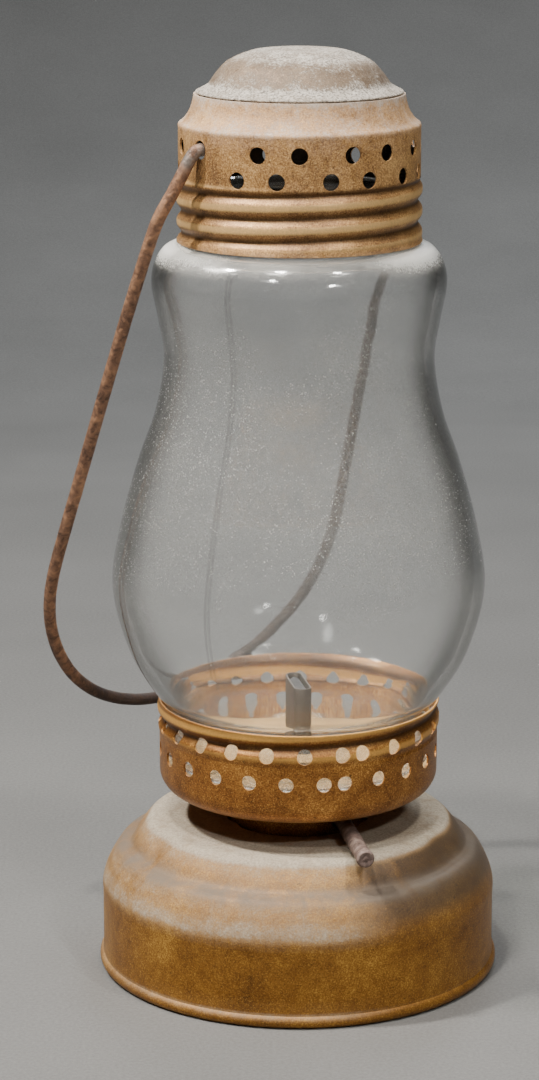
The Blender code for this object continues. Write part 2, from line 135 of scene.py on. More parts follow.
def turned(outline, segments=ROUND_SEGMENTS, wave=None):
    """Mesh of a closed (radius, height) outline turned round Z; wave(azimuth, height) moves the radius."""
    maker = bmesh.new()
    rings = []
    for radius, height in outline:
        if radius < ON_AXIS:
            rings.append([maker.verts.new((0.0, 0.0, height))])
            continue
        ring = []
        for step in range(segments):
            azimuth = 360.0 * step / segments
            swell = wave(azimuth, height) if wave else 0.0
            ring.append(maker.verts.new(around(radius + swell, azimuth, height)))
        rings.append(ring)
    for first, second in zip(rings, rings[1:] + rings[:1]):
        for step in range(segments):
            corners = [first[step % len(first)], first[(step + 1) % len(first)],
                       second[(step + 1) % len(second)], second[step % len(second)]]
            distinct = list(dict.fromkeys(corners))
            if len(distinct) > 2:
                maker.faces.new(distinct)
    return maker


def offset_line(line, thickness):
    """The line moved to the right of its direction."""
    moved = []
    for index, point in enumerate(line):
        before = line[max(index - 1, 0)]
        after = line[min(index + 1, len(line) - 1)]
        incoming = Vector(point) - Vector(before)
        outgoing = Vector(after) - Vector(point)
        incoming = (incoming if incoming.length else outgoing).normalized()
        outgoing = (outgoing if outgoing.length else incoming).normalized()
        middle = (incoming + outgoing).normalized()
        reach = thickness / max(middle.dot(outgoing), 0.5)
        moved.append((max(point[0] + middle.y * reach, 0.0), point[1] - middle.x * reach))
    return moved


def round_end(start, end, bulge):
    """Points of a half-round edge from start to end, with bulge as its outward unit direction."""
    centre = (Vector(start) + Vector(end)) / 2
    arm = Vector(start) - centre
    reach = arm.length
    return [tuple(centre + arm * math.cos(turn) + bulge * reach * math.sin(turn))
            for turn in (math.pi * step / 4 for step in (1, 2, 3))]


def sheet(line, thickness):
    """Closed outline of a sheet whose outer face follows a line; its ends are rounded if off the axis."""
    inner = offset_line(line, thickness)
    outline = list(line)
    if line[-1][0] > ON_AXIS:
        outline += round_end(line[-1], inner[-1], (Vector(line[-1]) - Vector(line[-2])).normalized())
    outline += inner[::-1]
    if line[0][0] > ON_AXIS:
        outline += round_end(inner[0], line[0], (Vector(line[0]) - Vector(line[1])).normalized())
    return outline


def smooth_through(points, per_span):
    """Catmull-Rom curve through (radius, height) points."""
    ends = [points[0]] + list(points) + [points[-1]]
    curve = []
    for p0, p1, p2, p3 in zip(ends, ends[1:], ends[2:], ends[3:]):
        for step in range(per_span):
            t = step / per_span
            weights = (-t + 2 * t * t - t ** 3, 2 - 5 * t * t + 3 * t ** 3,
                       t + 4 * t * t - 3 * t ** 3, -t * t + t ** 3)
            curve.append(tuple(sum(w * p[axis] for w, p in zip(weights, (p0, p1, p2, p3))) / 2
                               for axis in (0, 1)))
    return curve + [tuple(points[-1])]


def arc(centre, radius, start, end, steps):
    angles = [math.radians(start + (end - start) * step / steps) for step in range(steps + 1)]
    return [(centre[0] + radius * math.cos(angle), centre[1] + radius * math.sin(angle)) for angle in angles]


def steps_between(start, end, count):
    return [start + (end - start) * step / count for step in range(count + 1)]


def thread(groove_height, pitch, depth, low, high, fade):
    """Radius change of a right-hand thread, with its groove at groove_height at the front."""
    def wave(azimuth, height):
        turns = (height - groove_height) / pitch - azimuth / 360.0
        into = min((height - low) / fade, (high - height) / fade, 1.0)
        return -depth * math.cos(2 * math.pi * turns) * max(into, 0.0)
    return wave


def bead_thread(groove_height, pitch, groove, crest, low, high, fade):
    """Radius change of a right-hand thread of round beads with narrow grooves between them."""
    narrowing = 1.7

    def wave(azimuth, height):
        turns = (height - groove_height) / pitch - azimuth / 360.0
        into = max(min((height - low) / fade, (high - height) / fade, 1.0), 0.0)
        hollow = (0.5 + 0.5 * math.cos(2 * math.pi * turns)) ** narrowing
        return (crest - (crest + groove) * hollow) * into
    return wave


def dented(depth, size, seed, pinches=()):
    """Small smooth hollows all round, and deeper pinches as (azimuth, height, spread, depth)."""
    mm_per_degree = 0.5

    def wave(azimuth, height):
        spot = around(30.0, azimuth, height) / size + Vector((seed, 3.1 * seed, 0.0))
        total = -depth * (0.5 + 0.5 * noise.noise(spot))
        for at, level, spread, sink in pinches:
            across = ((azimuth - at + 180) % 360 - 180) * mm_per_degree
            total -= sink * math.exp(-(across ** 2 + (height - level) ** 2) / spread ** 2)
        return total
    return wave


def added(*waves):
    return lambda azimuth, height: sum(wave(azimuth, height) for wave in waves)


def prism(maker, outline, start, end, place=Matrix()):
    rings = [[maker.verts.new(place @ Vector((x, y, z))) for x, y in outline] for z in (start, end)]
    maker.faces.new(rings[0][::-1])
    maker.faces.new(rings[1])
    for step in range(len(outline)):
        after = (step + 1) % len(outline)
        maker.faces.new((rings[0][step], rings[0][after], rings[1][after], rings[1][step]))


def circle(radius, sides):
    return [(radius * math.cos(2 * math.pi * step / sides), radius * math.sin(2 * math.pi * step / sides))
            for step in range(sides)]


def flat_oval(width, thickness, arc_steps=12):
    """Outline of a flattened tube, thin along X and wide along Y."""
    radius = thickness / 2
    reach = width / 2 - radius
    outline = []
    for sign, start in ((1, 0.0), (-1, math.pi)):
        for step in range(arc_steps + 1):
            angle = start + math.pi * step / arc_steps
            outline.append((radius * math.cos(angle), sign * reach + radius * math.sin(angle)))
    return outline


def loft(maker, rings, closed=False):
    """Join (x, y, z) rings into a solid: a closed ring of rings, or a rod with flat ends."""
    made = [[maker.verts.new(point) for point in ring] for ring in rings]
    for first, second in zip(made, made[1:] + made[:1] if closed else made[1:]):
        for step in range(len(first)):
            after = (step + 1) % len(first)
            maker.faces.new((first[step], first[after], second[after], second[step]))
    if not closed:
        maker.faces.new(made[0])
        maker.faces.new(made[-1])


def punch_holes(item, cutter_maker):
    """Cut holes and keep the result as a plain mesh."""
    cutter = piece(item.name + "_cutter", cutter_maker)
    change = item.modifiers.new("holes", "BOOLEAN")
    change.operation, change.solver, change.object = "DIFFERENCE", "EXACT", cutter
    settle(item)
    bpy.data.objects.remove(cutter, do_unlink=True)


def bevelled(item, width):
    change = item.modifiers.new("edges", "BEVEL")
    change.width, change.segments, change.limit_method = width * MM, 2, "ANGLE"
    change.angle_limit = math.radians(BEVEL_ANGLE)
    settle(item)


def settle(item):
    """Apply an object's modifiers."""
    graph = bpy.context.evaluated_depsgraph_get()
    mesh = bpy.data.meshes.new_from_object(item.evaluated_get(graph))
    item.modifiers.clear()
    old = item.data
    item.data = mesh
    bpy.data.meshes.remove(old)
    item.data.name = item.name
    smooth(item)


def radial_punch(maker, azimuth, height, diameter, radius):
    """Add a round cutter that passes through a wall at a radius."""
    outward = around(1.0, azimuth, 0.0)
    turn = outward.to_track_quat("Z", "Y").to_matrix().to_4x4()
    prism(maker, circle(diameter / 2, BORE_SIDES), radius - PUNCH_REACH, radius + PUNCH_REACH,
          Matrix.Translation((0, 0, height)) @ turn)


# ---------------------------------------------------------------- materials

class Finish:
    """Short calls for building one material's nodes."""

    def __init__(self, name):
        self.material = bpy.data.materials.new(name)
        self.material.use_nodes = True
        self.tree = self.material.node_tree
        self.shader = self.tree.nodes["Principled BSDF"]
        coords = self.tree.nodes.new("ShaderNodeTexCoord")
        self.place, self.normal = coords.outputs["Object"], coords.outputs["Normal"]

    def put(self, socket, value):
        if isinstance(value, bpy.types.NodeSocket):
            self.tree.links.new(value, socket)
            return
        if socket.type == "RGBA" and len(value) == 3:
            value = (*value, 1.0)
        socket.default_value = value

    def node(self, kind, inputs, **settings):
        made = self.tree.nodes.new(kind)
        for key, value in settings.items():
            setattr(made, key, value)
        for key, value in inputs.items():
            self.put(made.inputs[key], value)
        return made

    def set(self, **values):
        for key, value in values.items():
            self.put(self.shader.inputs[key.replace("_", " ")], value)

    def math(self, operation, a, b=0.0, clamp=False):
        return self.node("ShaderNodeMath", {0: a, 1: b}, operation=operation, use_clamp=clamp).outputs[0]

    def plus(self, a, b):
        return self.math("ADD", a, b)

    def minus(self, a, b):
        return self.math("SUBTRACT", a, b)

    def times(self, a, b):
        return self.math("MULTIPLY", a, b)

    def larger(self, a, b, clamp=False):
        return self.math("MAXIMUM", a, b, clamp)

    def vector(self, operation, a, b, output="Vector"):
        return self.node("ShaderNodeVectorMath", {0: a, 1: b}, operation=operation).outputs[output]

    def stretch(self, x, y, z):
        return self.vector("MULTIPLY", self.place, (x, y, z))

    def shift(self, x, y, z):
        return self.vector("ADD", self.place, (x, y, z))

    def centred(self, texture, strength):
        """A texture's difference from its middle value, times strength."""
        return self.times(self.minus(texture, 0.5), strength)

    def noise(self, scale, detail=3.0, rough=0.55, place=None, warp=0.0):
        inputs = {"Vector": place or self.place, "Scale": scale, "Detail": detail, "Roughness": rough,
                  "Distortion": warp}
        return self.node("ShaderNodeTexNoise", inputs).outputs["Fac"]

    def cells(self, scale, place=None):
        """A random number per cell and the distance to its centre."""
        made = self.node("ShaderNodeTexVoronoi", {"Vector": place or self.place, "Scale": scale})
        value = self.node("ShaderNodeSeparateColor", {0: made.outputs["Color"]}).outputs[0]
        return value, made.outputs["Distance"]

    def remap(self, value, low, high, out_low=0.0, out_high=1.0, smoothly=True):
        kind = "SMOOTHSTEP" if smoothly else "LINEAR"
        return self.node("ShaderNodeMapRange", {0: value, 1: low, 2: high, 3: out_low, 4: out_high},
                         interpolation_type=kind).outputs[0]

    def ramp(self, value, *stops):
        made = self.node("ShaderNodeValToRGB", {0: value})
        points = made.color_ramp.elements
        while len(points) < len(stops):
            points.new(0.5)
        for point, (position, colour) in zip(points, stops):
            point.position, point.color = position, (*colour, 1.0)
        return made.outputs[0]

    def blend(self, amount, first, second):
        made = self.node("ShaderNodeMix", {}, data_type="RGBA")
        for socket, value in ((made.inputs[0], amount), (made.inputs[6], first), (made.inputs[7], second)):
            self.put(socket, value)
        return made.outputs[2]

    def mix(self, amount, first, second):
        made = self.node("ShaderNodeMix", {}, data_type="FLOAT")
        for socket, value in ((made.inputs[0], amount), (made.inputs[2], first), (made.inputs[3], second)):
            self.put(socket, value)
        return made.outputs[0]

    def bump(self, height, distance, strength, after=None):
        inputs = {"Height": height, "Distance": distance, "Strength": strength}
        if after:
            inputs["Normal"] = after
        return self.node("ShaderNodeBump", inputs).outputs[0]

    def mix_in(self, amount, tint):
        """Let light straight through by amount, on top of everything else."""
        through = self.node("ShaderNodeBsdfTransparent", {"Color": tint})
        both = self.node("ShaderNodeMixShader", {0: amount})
        self.tree.links.new(self.shader.outputs[0], both.inputs[1])
        self.tree.links.new(through.outputs[0], both.inputs[2])
        self.tree.links.new(both.outputs[0], self.tree.nodes["Material Output"].inputs["Surface"])

    def upward(self):
        return self.node("ShaderNodeSeparateXYZ", {0: self.normal}).outputs[2]

    def axes(self):
        """X, Y and Z of the piece's own frame, in metres."""
        return self.node("ShaderNodeSeparateXYZ", {0: self.place}).outputs


def lacquer_coat(f, tones, place):
    """Clouded lacquer with flecks and pits; returns its colour and the grain and mottle textures."""
    pit, dark, body, fleck = tones
    clouds = f.noise(60.0, 4.0, 0.6, place=place, warp=0.5)
    grain = f.noise(3400.0, 2.0, 0.6, place=place)
    mottle = f.noise(420.0, 3.0, 0.6, place=place)
    tone = f.plus(f.plus(f.times(clouds, 0.37), f.times(grain, 0.45)), f.times(mottle, 0.18))
    colour = f.ramp(tone, (0.31, pit), (0.42, dark), (0.54, body), (0.68, fleck))
    spark, _ = f.cells(6200.0, place=place)
    colour = f.blend(f.times(f.remap(spark, 0.86, 1.0), 0.45), colour, fleck)
    pits = f.remap(f.noise(900.0, 2.0, 0.5, place=place), 0.70, 0.76)
    return f.blend(f.times(pits, 0.7), colour, pit), grain, mottle


def thread_shade(f, groove):
    """How deep in a groove and how near a crest a point of a thread is, for painted shade in the grooves and
    a painted highlight on the crests; groove as in lacquer.
    """
    at, pitch, low, high = groove
    x, y, z = f.axes()
    azimuth = f.math("DIVIDE", f.math("ARCTAN2", x, f.times(y, -1.0)), 2 * math.pi)
    turns = f.minus(f.math("DIVIDE", f.minus(z, at * MM), pitch * MM), azimuth)
    wave = f.plus(f.times(f.math("COSINE", f.times(turns, 2 * math.pi)), 0.5), 0.5)
    inside = f.times(f.remap(z, (low - 0.8) * MM, (low + 0.8) * MM),
                     f.remap(z, (high + 0.5) * MM, (high - 0.3) * MM))
    return f.times(f.math("POWER", wave, 1.6), inside), f.times(f.remap(wave, 0.35, 0.0), inside)


def dust_by_height(f, profile, uneven, raggedness):
    """Dust cover from a profile of (height in mm, cover), most uneven where the cover is about half."""
    low, high = profile[0][0], profile[-1][0]
    along = f.remap(f.axes()[2], low * MM, high * MM, smoothly=False)
    stops = [((at - low) / (high - low), (cover,) * 3) for at, cover in profile]
    level = f.node("ShaderNodeSeparateColor", {0: f.ramp(along, *stops)}).outputs[0]
    room = f.times(level, f.minus(1.0, level))
    return f.plus(level, f.times(f.times(uneven, room), raggedness))


def lacquer(name, tones, dust_tone, lean_from=0.45, lean_to=1.1, cover=0.5, profile=(), thin_tone=None,
            film=0.0, metallic=0.5, roughness=0.42, seed=0.0, right_shadow_and_wipe=0.0, groove=None, soot=0.0,
            dust_grain=0.3, dust_patch=2.0, valley_shade=()):
    """Worn bronze lacquer on tin, with dust by how far it faces up and by height.

    tones are pit, dark, body and fleck; seed moves every texture to another place.
    lean_from, lean_to: upward parts of the normal where dust starts and is full; cover is the full amount.
    profile: dust cover by height, as (height in mm, cover), upwards.
    thin_tone: colour of sparse dust; film: amount of a thin haze of dust everywhere.
    right_shadow_and_wipe: how much dust is taken away on the right, where the lacquer is also darkened as a
    painted shadow.
    groove: a thread's (groove height, pitch, low, high) in mm, for painted shade between its beads, a painted
    highlight on their crests and less dust in the grooves.
    soot: how much the faces turned to the axis are blackened.
    dust_grain: how coarse the dust looks; dust_patch: how ragged its edges are.
    valley_shade: (low, middle, high) in mm of a band darkened as painted shade.
    """
    f = Finish(name)
    pit, _, _, fleck = tones
    thin_tone = thin_tone or dust_tone
    shifted = f.shift(seed, seed, 0.0)
    colour, grain, mottle = lacquer_coat(f, tones, shifted)
    x, _, z = f.axes()
    hollow = 0.0
    if groove:
        hollow, crest = thread_shade(f, groove)
        # Painted shade: the grooves between the beads are darkened towards the pit tone.
        colour = f.blend(f.times(hollow, 0.8), colour, pit)
        # Painted highlight: the crests of the beads are lightened towards the fleck tone.
        colour = f.blend(f.times(crest, 0.6), colour, fleck)
    if soot:
        outwards = f.vector("DOT_PRODUCT", f.normal, f.stretch(1.0, 1.0, 0.0), "Value")
        colour = f.blend(f.times(f.remap(outwards, -0.002, -0.006), soot), colour, SOOT)

    patches = f.noise(150.0, 4.0, 0.62, place=shifted, warp=1.0)
    fine = f.noise(2600.0, 2.0, 0.7, place=shifted)
    crumbs = f.noise(1000.0, 2.0, 0.6, place=shifted)
    uneven = f.plus(f.plus(f.centred(patches, 1.5), f.centred(fine, 1.3)), f.centred(crumbs, 0.8))
    lean = f.plus(f.upward(), f.times(uneven, 0.25))
    dust = f.times(f.remap(lean, lean_from, lean_to), cover)
    if profile:
        dust = f.larger(dust, dust_by_height(f, profile, uneven, dust_patch))
    # Painted shadow on the right of the dome: the dust is taken away and the lacquer darkened towards a
    # shadow tone.
    if right_shadow_and_wipe:
        edge = f.plus(x, f.centred(patches, 0.024))
        shadow_and_wipe = f.times(f.times(f.remap(edge, 0.007, 0.020), right_shadow_and_wipe), f.remap(z, 0.0292, 0.0278))
        dust = f.times(dust, f.minus(1.0, shadow_and_wipe))
        colour = f.blend(f.times(shadow_and_wipe, f.remap(z, 0.017, 0.021, 0.0, 0.85)), colour, RIGHT_SHADOW_TONE)
    if groove:
        dust = f.times(dust, f.minus(1.0, f.times(hollow, 0.85)))
    haze = f.times(f.remap(f.plus(fine, f.times(patches, 0.5)), 0.6, 0.95), film)
    dust = f.larger(dust, f.times(haze, f.minus(1.0, hollow)), clamp=True)
    if soot:
        dust = f.times(dust, f.remap(outwards, -0.006, -0.002))

    dark_grain = tuple(c * (1.0 - dust_grain) for c in dust_tone)
    light_grain = tuple(min(c * (1.0 + 0.5 * dust_grain), 0.9) for c in dust_tone)
    thick = f.ramp(f.noise(2200.0, 3.0, 0.75, place=shifted),
                   (0.36, dark_grain), (0.52, dust_tone), (0.68, light_grain))
    dust_colour = f.blend(f.remap(dust, 0.45, 0.9), thin_tone, thick)
    blotch = f.remap(f.noise(210.0, 3.0, 0.6, place=shifted, warp=0.6), 0.50, 0.72, 0.0, 0.45)
    dust_colour = f.blend(blotch, dust_colour, tuple(c * 0.62 for c in thin_tone))
    colour = f.blend(dust, colour, dust_colour)
    # Painted shade: a band between the given heights, darkest at the middle, is darkened towards a shade
    # tone.
    if valley_shade:
        low, middle, high = (level * MM for level in valley_shade)
        band = f.times(f.remap(z, low, middle), f.remap(z, high, middle))
        band = f.times(band, f.remap(patches, 0.35, 0.62, 0.40, 0.85))
        colour = f.blend(band, colour, VALLEY_SHADE_TONE)

    bare_roughness = f.plus(f.times(grain, 0.25), roughness - 0.12)
    f.set(Base_Color=colour, Metallic=f.mix(dust, metallic, 0.0),
          Roughness=f.mix(dust, bare_roughness, DUST_ROUGHNESS))
    relief = f.bump(mottle, 0.0001, 0.3)
    grit = f.plus(fine, f.times(crumbs, 0.7))
    f.set(Normal=f.bump(grit, f.mix(dust, 0.00005, 0.00016), 0.45, after=relief))
    return f.material


def dull_metal(name, tones, metallic, roughness, cover=0.6, film=0.0):
    """Tarnished brass or tin; cover is the dust on its upper faces and film the dust elsewhere."""
    f = Finish(name)
    dark, body, light = tones
    stain = f.noise(160.0, 4.0, 0.6, warp=0.5)
    grain = f.noise(1800.0, 3.0, 0.6, place=f.stretch(1.0, 1.0, 0.25))
    tone = f.plus(f.times(stain, 0.6), f.times(grain, 0.45))
    colour = f.ramp(tone, (0.34, dark), (0.52, body), (0.74, light))
    fine = f.noise(1500.0, 3.0, 0.7)
    lean = f.plus(f.upward(), f.centred(fine, 0.5))
    dust = f.times(f.remap(lean, 0.3, 0.9), cover)
    dust = f.larger(dust, f.times(f.remap(fine, 0.45, 0.75), film), clamp=True)
    bare_roughness = f.plus(f.times(grain, 0.35), roughness - 0.17)
    f.set(Base_Color=f.blend(dust, colour, (0.34, 0.30, 0.25)), Metallic=f.mix(dust, metallic, 0.0),
          Roughness=f.mix(dust, bare_roughness, DUST_ROUGHNESS),
          Normal=f.bump(f.noise(700.0, 4.0, 0.6), 0.0001, 0.4))
    return f.material


def rust(name, tones, seed=0.0, rubbed=0.0, rubbed_from=0.0, rubbed_to=0.0, back_shade=0.0):
    """Rusty iron: scale, crumbs and orange bloom.

    rubbed: how bare the metal is above the height rubbed_to, in metres, from nothing at rubbed_from.
    back_shade: how far the back is darkened towards black, as painted shade.
    """
    f = Finish(name)
    dark, brown, orange = tones
    shifted = f.shift(seed, 0.0, seed)
    scale = f.noise(650.0, 5.0, 0.65, place=shifted, warp=0.6)
    bloom = f.noise(90.0, 3.0, 0.6, place=shifted)
    tone = f.plus(f.times(scale, 0.7), f.times(bloom, 0.35))
    colour = f.ramp(tone, (0.38, dark), (0.52, brown), (0.68, orange))
    crumbs, _ = f.cells(1500.0, place=shifted)
    colour = f.blend(f.times(f.remap(crumbs, 0.86, 0.98), 0.5), colour, orange)
    # Painted shade: the back of the piece is darkened towards black.
    back = f.remap(f.axes()[1], 0.016, 0.028)
    colour = f.blend(f.times(back, back_shade), colour, (0.020, 0.015, 0.014))
    bare = f.times(f.remap(f.axes()[2], rubbed_from, rubbed_to), rubbed)
    bare = f.times(bare, f.remap(f.noise(350.0, 3.0, 0.6, place=shifted), 0.35, 0.6))
    colour = f.blend(bare, colour, (0.42, 0.38, 0.34))
    f.set(Base_Color=colour, Metallic=f.mix(bare, 0.35, 0.95),
          Roughness=f.mix(bare, f.plus(f.times(scale, 0.3), 0.5), 0.38))
    pitted = f.bump(scale, 0.0004, 0.6)
    f.set(Normal=f.bump(f.noise(1600.0, 3.0, 0.6, place=shifted), 0.00012, 0.5, after=pitted))
    return f.material


def cotton(name):
    """Flat woven wick: a rib weave, stained with oil and charred black at the top."""
    f = Finish(name)

    def ribs(scale, wobble, direction):
        return f.node("ShaderNodeTexWave", {"Vector": f.place, "Scale": scale, "Distortion": wobble,
                                            "Detail": 1.0}, bands_direction=direction).outputs["Fac"]
    weave = f.times(ribs(380.0, 0.6, "Z"), ribs(300.0, 0.5, "Y"))
    colour = f.ramp(weave, (0.0, (0.22, 0.17, 0.11)), (0.6, (0.52, 0.46, 0.36)), (1.0, (0.66, 0.60, 0.50)))
    ragged = f.plus(f.axes()[2], f.times(f.noise(500.0), 0.003))
    char = f.remap(ragged, 0.0525, 0.0565)
    f.set(Base_Color=f.blend(char, colour, (0.012, 0.010, 0.009)), Roughness=0.95,
          Normal=f.bump(weave, 0.0002, 0.8))
    f.set(Sheen_Weight=0.25)
    return f.material


def glass_dust(f):
    """Dust on the globe: a film and specks on the belly, smears on the foot, a thick coat on the shoulder."""
    x, y, height = f.axes()
    clouds = f.noise(38.0, 4.0, 0.6, warp=0.8)
    fine = f.noise(2600.0, 2.0, 0.7)
    small, small_gap = f.cells(2900.0)
    large, large_gap = f.cells(1100.0)
    specks = f.times(f.remap(small, 0.74, 0.95), f.remap(small_gap, 0.50, 0.15))
    dots = f.times(f.remap(large, 0.94, 1.0), f.remap(large_gap, 0.26, 0.08))
    specks = f.plus(f.times(specks, 0.42), f.times(dots, 0.5))
    specks = f.times(specks, f.remap(clouds, 0.35, 0.65, 0.35, 1.0))

    belly = f.times(f.remap(height, 0.060, 0.090, 0.10, 1.0), f.remap(height, 0.136, 0.118, 0.5, 1.0))
    film = f.times(f.remap(clouds, 0.30, 0.75, 0.35, 1.0), belly)
    film = f.times(film, f.remap(fine, 0.42, 0.72, 0.012, 0.12))
    film = f.plus(f.plus(film, f.times(specks, belly)), 0.012)

    smears = f.noise(620.0, 3.0, 0.6, place=f.stretch(0.5, 0.5, 2.0))
    foot = f.times(f.remap(height, 0.0525, 0.0515), f.remap(fine, 0.3, 0.7, 0.03, 0.12))
    low_foot = f.times(f.remap(height, 0.0475, 0.0462), f.remap(smears, 0.38, 0.62, 0.08, 0.28))
    foot = f.times(f.larger(foot, low_foot), f.remap(y, 0.004, -0.006, 0.25, 1.0))

    lean = f.plus(f.upward(), f.centred(fine, 0.8))
    shoulder = f.times(f.remap(lean, 0.25, 1.0), f.remap(height, 0.1330, 0.1385))
    streaks = f.noise(130.0, 3.0, 0.6, place=f.stretch(0.5, 0.5, 1.0))
    ends = f.remap(f.math("ABSOLUTE", x), 0.010, 0.022, 0.22, 1.0)
    shoulder = f.times(shoulder, f.times(f.remap(streaks, 0.35, 0.6, 0.45, 1.0), ends))

    below_cap = f.remap(height, 0.1424, 0.1408)
    return f.times(f.larger(f.larger(film, foot), shoulder, clamp=True), below_cap)


def globe_glass(name):
    """Clear glass with dust, a greasy shoulder and back foot, painted dark edges and a faint mould seam."""
    f = Finish(name)
    x, y, height = f.axes()
    dust = glass_dust(f)
    seam_turn = math.radians(-29.0)
    to_seam = f.vector("DOT_PRODUCT", f.place, (math.cos(seam_turn), math.sin(seam_turn), 0.0), "Value")
    seam = f.times(f.remap(f.math("ABSOLUTE", to_seam), 0.00045, 0.00010), f.remap(x, -0.002, -0.004))
    seam = f.times(seam, f.remap(height, 0.062, 0.068))
    # Painted shade: the glass colour darkens towards the silhouette, standing in for dark surroundings seen
    # in its edges.
    facing = f.node("ShaderNodeLayerWeight", {"Blend": 0.5}).outputs["Facing"]
    clear = f.blend(f.remap(facing, 0.40, 0.80), (0.985, 0.99, 0.985), (0.10, 0.104, 0.10))
    clear = f.blend(f.times(seam, 0.5), clear, (0.20, 0.20, 0.19))
    greasy = f.times(f.remap(y, 0.004, 0.016), f.remap(height, 0.074, 0.066, 0.0, 0.045))
    greasy = f.larger(greasy, f.remap(height, 0.1310, 0.1345, 0.0, 0.060))
    blur = f.larger(f.remap(dust, 0.0, 0.6, 0.012, 0.6, smoothly=False), greasy)
    f.set(Base_Color=f.blend(f.remap(dust, 0.01, 0.12), clear, (0.74, 0.73, 0.69)),
          Transmission_Weight=f.minus(1.0, dust), Roughness=blur, IOR=1.5)
    ripple = f.noise(60.0, 2.0, 0.5, place=f.stretch(1.0, 1.0, 0.5))
    f.set(Normal=f.bump(ripple, 0.0002, 0.3))
    shadow = f.node("ShaderNodeLightPath", {}).outputs["Is Shadow Ray"]
    f.mix_in(f.times(shadow, f.minus(1.0, dust)), (0.90, 0.91, 0.90))
    return f.material


GOLD = ((0.055, 0.020, 0.003), (0.190, 0.074, 0.009), (0.330, 0.142, 0.018), (0.72, 0.40, 0.080))
AMBER = ((0.040, 0.014, 0.004), (0.190, 0.068, 0.012), (0.380, 0.155, 0.030), (0.90, 0.50, 0.130))
TAN = ((0.042, 0.017, 0.006), (0.225, 0.108, 0.036), (0.540, 0.290, 0.100), (1.0, 0.66, 0.27))
CROWN_BROWN = ((0.05, 0.03, 0.016), (0.14, 0.092, 0.058), (0.24, 0.17, 0.11), (0.5, 0.38, 0.25))
GREY_DUST = (0.45, 0.388, 0.298)
WARM_DUST = (0.40, 0.290, 0.172)
SOOT = (0.012, 0.010, 0.008)
# Colour of the painted shade in a band, such as the fount dome's valley.
VALLEY_SHADE_TONE = (0.175, 0.142, 0.112)
# Colour of the painted shadow on the right of the fount's dome.
RIGHT_SHADOW_TONE = (0.085, 0.074, 0.062)
DUST_ROUGHNESS = 0.95

# (height in mm, cover), upwards
FOUNT_DUST = ((1.2, 0.0), (2.1, 0.38), (2.75, 0.50), (3.1, 0.06), (6.0, 0.0), (14.8, 0.02), (16.2, 0.28),
              (17.6, 0.70), (19.0, 0.66), (20.6, 0.44), (22.4, 0.52), (23.5, 0.46), (24.4, 0.40),
              (25.3, 0.36), (26.6, 0.42), (28.2, 0.60), (28.8, 0.92), (29.4, 0.94))
BAND_DUST = ((142.3, 0.30), (143.2, 0.08), (150.0, 0.05), (160.0, 0.08), (163.2, 0.22), (164.3, 0.64),
             (166.2, 0.46), (168.4, 0.55), (169.6, 0.84))
CROWN_DUST = ((169.8, 0.82), (171.3, 0.90), (172.4, 0.52), (174.4, 0.40), (175.6, 0.55), (176.4, 0.80),
              (178.0, 0.82))

# The fount's lacquer has a painted shadow on the right of the dome and painted shade in the dome's valley.
fount_lacquer = lacquer("fount_lacquer", GOLD, GREY_DUST, 0.85, 1.1, 0.9, profile=FOUNT_DUST,
                        thin_tone=WARM_DUST, right_shadow_and_wipe=0.85, valley_shade=(21.6, 23.9, 26.4))
burner_lacquer = lacquer("burner_lacquer", AMBER, (0.40, 0.27, 0.15), 0.55, 1.2, 0.22, seed=0.31,
                         groove=(CUP_VALLEY_Z, CUP_PITCH, 48.4, CUP_TOP))
cap_lacquer = lacquer("cap_lacquer", TAN, (0.56, 0.475, 0.40), 0.45, 1.2, 0.35, profile=BAND_DUST,
                      thin_tone=(0.54, 0.37, 0.24), film=0.07, dust_patch=3.0, seed=0.57, soot=0.95,
                      groove=(CAP_GROOVE_Z, CAP_PITCH, CAP_BOTTOM + 1.2, CAP_THREAD_TOP))
crown_lacquer = lacquer("crown_lacquer", CROWN_BROWN, (0.47, 0.43, 0.37), 0.95, 1.15, 0.9,
                        profile=CROWN_DUST, thin_tone=(0.185, 0.142, 0.105), seed=0.83, dust_grain=0.8,
                        dust_patch=3.4)
bottom_tin = lacquer("bottom_tin", GOLD, (0.30, 0.26, 0.22), 0.4, 1.0, 0.5, film=0.35, seed=0.43)
deck_tin = lacquer("deck_tin", TAN, (0.36, 0.250, 0.125), 0.1, 0.5, 0.65, seed=0.19)
tube_tin = dull_metal("tube_tin", ((0.026, 0.020, 0.016), (0.055, 0.044, 0.035), (0.11, 0.092, 0.075)),
                      0.3, 0.6, cover=0.3, film=0.08)
collar_brass = dull_metal("collar_brass", ((0.13, 0.075, 0.03), (0.36, 0.235, 0.095), (0.56, 0.40, 0.19)),
                          0.9, 0.42)
bracket_brass = dull_metal("bracket_brass", ((0.10, 0.06, 0.03), (0.30, 0.20, 0.10), (0.48, 0.34, 0.18)),
                           0.85, 0.5)
wheel_brass = dull_metal("wheel_brass", ((0.15, 0.095, 0.04), (0.42, 0.29, 0.12), (0.62, 0.46, 0.22)),
                         0.9, 0.42)
spindle_iron = rust("spindle_iron", ((0.065, 0.042, 0.036), (0.19, 0.130, 0.108), (0.36, 0.27, 0.23)),
                    seed=0.7)
# The bail's back is darkened as painted shade.
bail_wire = rust("bail_wire", ((0.050, 0.028, 0.019), (0.20, 0.105, 0.062), (0.40, 0.215, 0.115)),
                 rubbed=0.7, rubbed_from=0.1555, rubbed_to=0.1600, back_shade=0.85)
wick_cotton = cotton("wick_cotton")
glass = globe_glass("globe_glass")


# ---------------------------------------------------------------- fount

